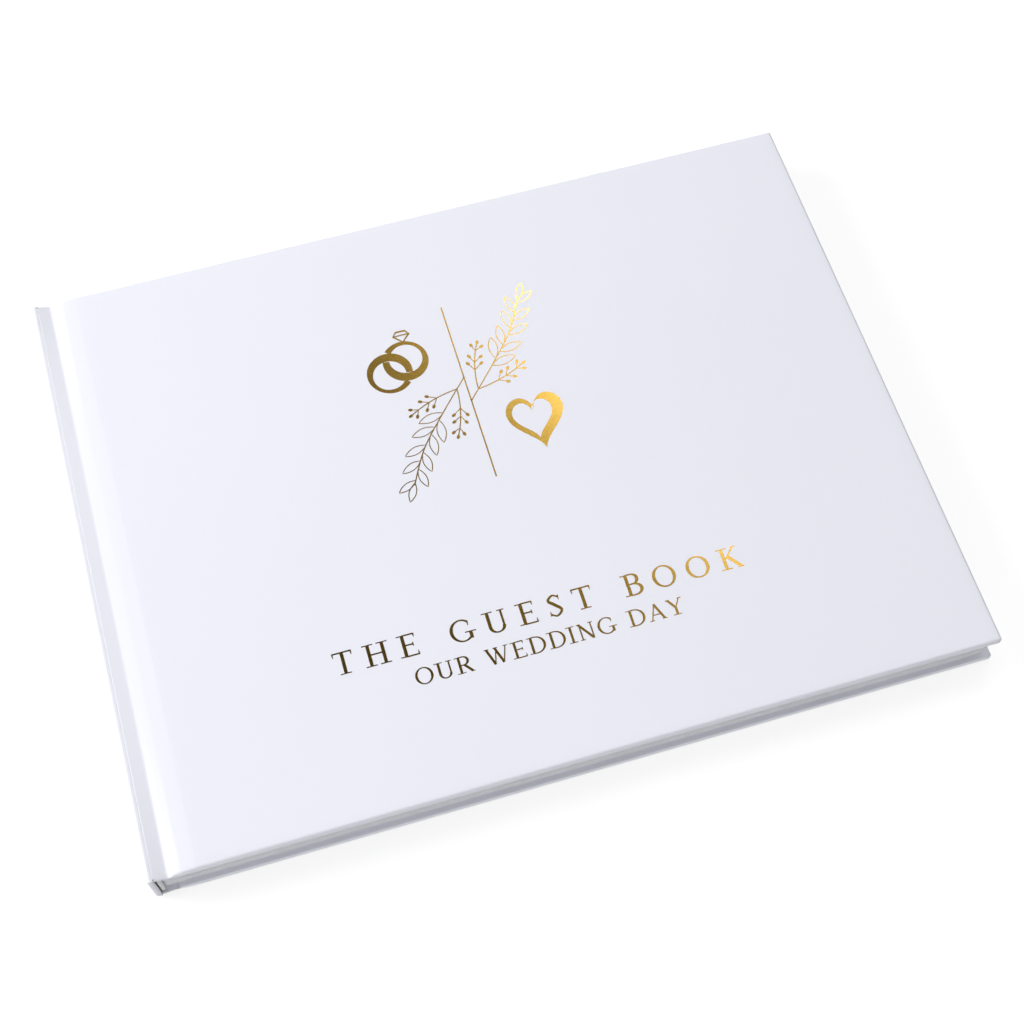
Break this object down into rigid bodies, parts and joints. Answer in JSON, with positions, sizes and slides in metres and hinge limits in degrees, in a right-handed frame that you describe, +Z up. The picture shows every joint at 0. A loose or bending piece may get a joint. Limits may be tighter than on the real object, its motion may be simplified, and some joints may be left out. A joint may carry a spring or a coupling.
{
  "type": "guest book",
  "caption": "Landscape hardcover wedding guest book with a grooved white cover, gold foil stamping and sewn pages that open on hinged covers.",
  "frame": {"origin": "under the middle of the closed book, on the outer face of the back cover it lies on", "axes": "+X from the spine to the fore edge, +Y from tail to head, +Z up out of the front cover"},
  "size_m": [0.2856, 0.2198, 0.0174],
  "materials": {
    "cover_wrap": "white soft-touch laminated paper, fine even tooth",
    "binders_board": "dense grey binder's board",
    "endpaper": "smooth uncoated endpaper",
    "page_paper": "uncoated writing paper",
    "kraft_lining": "brown kraft paper",
    "crash_cloth": "open-weave cotton",
    "woven_band": "silk-look woven band",
    "sewing_thread": "waxed linen thread",
    "gold_foil": "hot-stamped mirror gold foil"
  },
  "bodies": {
    "text_block": {"spine_board": "binders_board", "spine_wrap": "cover_wrap", "spine_lining": "kraft_lining", "crash_cloth": "crash_cloth", "head_band": "woven_band", "tail_band": "woven_band", "sewing_thread": "sewing_thread", "section_7": "page_paper", "front_joint": "cover_wrap", "back_joint": "cover_wrap"},
    "front_cover": {"front_board": "binders_board", "front_cover_wrap": "cover_wrap", "front_cloth_flap": "crash_cloth", "front_pastedown": "endpaper", "foil_stamping": "gold_foil"},
    "back_cover": {"back_board": "binders_board", "back_cover_wrap": "cover_wrap", "back_cloth_flap": "crash_cloth", "back_pastedown": "endpaper"},
    "front_flyleaf_turning": {"front_flyleaf": "endpaper"},
    "back_flyleaf_turning": {"back_flyleaf": "endpaper"},
    "section_1_turning": {"section_1": "page_paper"},
    "section_2_turning": {"section_2": "page_paper"},
    "section_3_turning": {"section_3": "page_paper"},
    "section_4_turning": {"section_4": "page_paper"},
    "section_5_turning": {"section_5": "page_paper"},
    "section_6_turning": {"section_6": "page_paper"}
  },
  "joints": [
    {"name": "front_cover_hinge", "type": "hinge", "parent": "text_block", "child": "front_cover", "pos_m": [-0.13975, 0, 0.01583], "axis": [0, -1, 0], "range_deg": [0, 178], "deforming": ["front_joint"]},
    {"name": "back_cover_hinge", "type": "hinge", "parent": "text_block", "child": "back_cover", "pos_m": [-0.13975, 0, 0.00159], "axis": [0, 1, 0], "range_deg": [0, 178], "deforming": ["back_joint"]},
    {"name": "front_flyleaf_turn", "type": "hinge", "parent": "text_block", "child": "front_flyleaf_turning", "pos_m": [-0.13975, 0, 0.01583], "axis": [0, -1, 0], "range_deg": [0, 178]},
    {"name": "back_flyleaf_turn", "type": "hinge", "parent": "text_block", "child": "back_flyleaf_turning", "pos_m": [-0.13975, 0, 0.00159], "axis": [0, 1, 0], "range_deg": [0, 178]},
    {"name": "section_1_turn", "type": "hinge", "parent": "text_block", "child": "section_1_turning", "pos_m": [-0.13975, 0, 0.01583], "axis": [0, -1, 0], "range_deg": [0, 178]},
    {"name": "section_2_turn", "type": "hinge", "parent": "text_block", "child": "section_2_turning", "pos_m": [-0.13975, 0, 0.01583], "axis": [0, -1, 0], "range_deg": [0, 178]},
    {"name": "section_3_turn", "type": "hinge", "parent": "text_block", "child": "section_3_turning", "pos_m": [-0.13975, 0, 0.01583], "axis": [0, -1, 0], "range_deg": [0, 178]},
    {"name": "section_4_turn", "type": "hinge", "parent": "text_block", "child": "section_4_turning", "pos_m": [-0.13975, 0, 0.01583], "axis": [0, -1, 0], "range_deg": [0, 178]},
    {"name": "section_5_turn", "type": "hinge", "parent": "text_block", "child": "section_5_turning", "pos_m": [-0.13975, 0, 0.01583], "axis": [0, -1, 0], "range_deg": [0, 178]},
    {"name": "section_6_turn", "type": "hinge", "parent": "text_block", "child": "section_6_turning", "pos_m": [-0.13975, 0, 0.01583], "axis": [0, -1, 0], "range_deg": [0, 178]}
  ],
  "couplings": [
    {"joint": "front_flyleaf_turn", "follows": "front_cover_hinge", "ratio": 0.985},
    {"joint": "back_flyleaf_turn", "follows": "back_cover_hinge", "ratio": 0.985},
    {"joint": "section_1_turn", "follows": "front_cover_hinge", "ratio": 0.965},
    {"joint": "section_2_turn", "follows": "front_cover_hinge", "ratio": 0.945},
    {"joint": "section_3_turn", "follows": "front_cover_hinge", "ratio": 0.925},
    {"joint": "section_4_turn", "follows": "front_cover_hinge", "ratio": 0.035},
    {"joint": "section_5_turn", "follows": "front_cover_hinge", "ratio": 0.022},
    {"joint": "section_6_turn", "follows": "front_cover_hinge", "ratio": 0.01}
  ]
}
